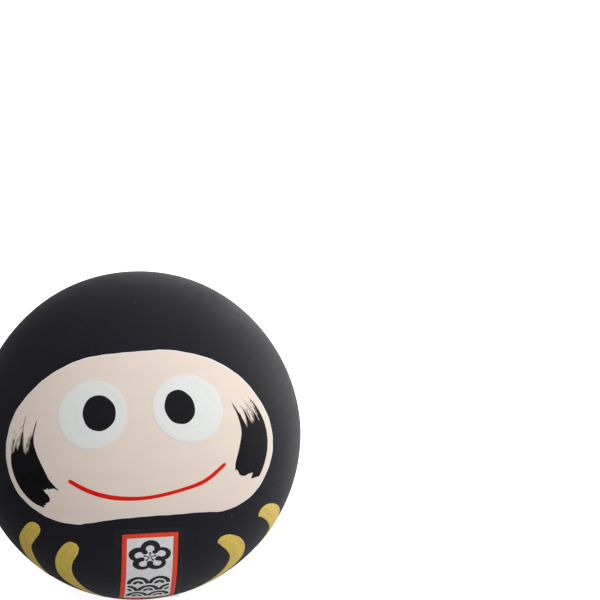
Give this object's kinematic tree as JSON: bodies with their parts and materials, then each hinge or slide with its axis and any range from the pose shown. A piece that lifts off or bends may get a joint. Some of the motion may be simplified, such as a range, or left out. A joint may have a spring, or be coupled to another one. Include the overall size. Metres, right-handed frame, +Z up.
{
  "type": "daruma doll",
  "caption": "Round black roly-poly daruma doll with a painted smiling face, gold robe strokes and a red-framed sticker on the front; a clay foot weight brings it upright.",
  "frame": {"origin": "on the resting plane, under the middle of the round foot disc", "axes": "+Z up along the doll's own axis, the face looks along -Y, +X to the right of someone who looks at the face"},
  "size_m": [0.09, 0.0902, 0.0886],
  "materials": {
    "pulp": "matte",
    "washi_paper": "matte",
    "black_paint": "matte",
    "clay": "matte",
    "face_paint": "matte",
    "white_paint": "matte",
    "brush_black": "matte",
    "red_paint": "satin",
    "gold_paint": "matte",
    "clear_film": "satin",
    "sticker_ink": "satin"
  },
  "bodies": {
    "root": {"front_shell": "pulp", "back_shell": "pulp", "seam_strip": "washi_paper", "body_coat": "black_paint", "clay_weight": "clay", "foot_disc": "washi_paper", "face_paint": "face_paint", "eye_white_left": "white_paint", "eye_white_right": "white_paint", "pupil_left": "brush_black", "pupil_right": "brush_black", "smile_line": "red_paint", "sideburn_left": "brush_black", "sideburn_right": "brush_black", "robe_stroke_left_outer": "gold_paint", "robe_stroke_left_inner": "gold_paint", "robe_stroke_right_inner": "gold_paint", "robe_stroke_right_outer": "gold_paint", "sticker_film": "clear_film", "sticker_print": "sticker_ink"}
  },
  "joints": []
}
